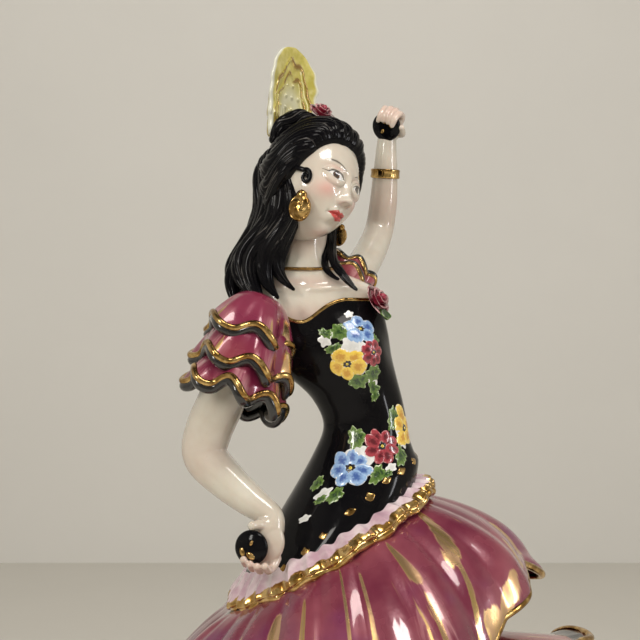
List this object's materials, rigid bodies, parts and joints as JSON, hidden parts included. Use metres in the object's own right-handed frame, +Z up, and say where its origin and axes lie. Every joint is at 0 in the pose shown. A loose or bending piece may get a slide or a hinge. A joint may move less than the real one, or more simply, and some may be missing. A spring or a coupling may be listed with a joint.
{
  "type": "ceramic dancer figurine",
  "caption": "Glazed ceramic dancer figurine in a tiered ruffled skirt, one arm raised with castanets, on a low round plinth.",
  "frame": {"origin": "middle of the flat underside of the plinth, on the surface that it stands on", "axes": "+Z up along the figure, -Y the way the bodice faces, +X towards the figure's left hand"},
  "size_m": [0.2376, 0.2198, 0.4799],
  "materials": {
    "black_glaze": "glossy black glaze over white earthenware, clear and wet-looking, with gold dabs and reserved painted flowers on the bodice",
    "ivory_glaze": "clear gloss glaze over ivory body, soft pink shading in the hollows",
    "rose_lustre": "raspberry pink lustre glaze with streaks of gold along the folds and rolled gold edges",
    "pale_pink_glaze": "pale pink glaze, mottled, with gold dabs on the rolled edge",
    "gold_lustre": "fired liquid gold, mirror bright and slightly worn",
    "yellow_glaze": "yellow-green glaze thinning to white at the edges, with gold scroll lines",
    "rose_red_glaze": "dark red and pink glaze, paler at the petal edges"
  },
  "bodies": {
    "root": {"plinth": "black_glaze", "skirt_body": "black_glaze", "overskirt": "rose_lustre", "upper_flounce": "rose_lustre", "middle_flounce": "rose_lustre", "lower_flounce": "rose_lustre", "hip_frill": "pale_pink_glaze", "bodice": "black_glaze", "bust": "ivory_glaze", "necklace": "gold_lustre", "head": "ivory_glaze", "arm_right": "ivory_glaze", "castanet_right_outer": "black_glaze", "castanet_right_inner": "black_glaze", "arm_left": "ivory_glaze", "castanet_left_outer": "black_glaze", "castanet_left_inner": "black_glaze", "bracelet": "gold_lustre", "hair_cap": "black_glaze", "kiss_curl": "black_glaze", "comb": "yellow_glaze", "earring_right": "gold_lustre", "earring_left": "gold_lustre", "sleeve_right_tier_1": "rose_lustre", "sleeve_right_tier_2": "rose_lustre", "sleeve_right_tier_3": "rose_lustre", "sleeve_left_tier_1": "rose_lustre", "sleeve_left_tier_2": "rose_lustre", "hair_fall_back": "black_glaze", "hair_fall_right": "black_glaze", "hair_lock_right": "black_glaze", "hair_lock_left": "black_glaze", "hair_roll": "black_glaze", "hair_rose": "rose_red_glaze", "shoulder_rose": "rose_red_glaze"}
  },
  "joints": []
}
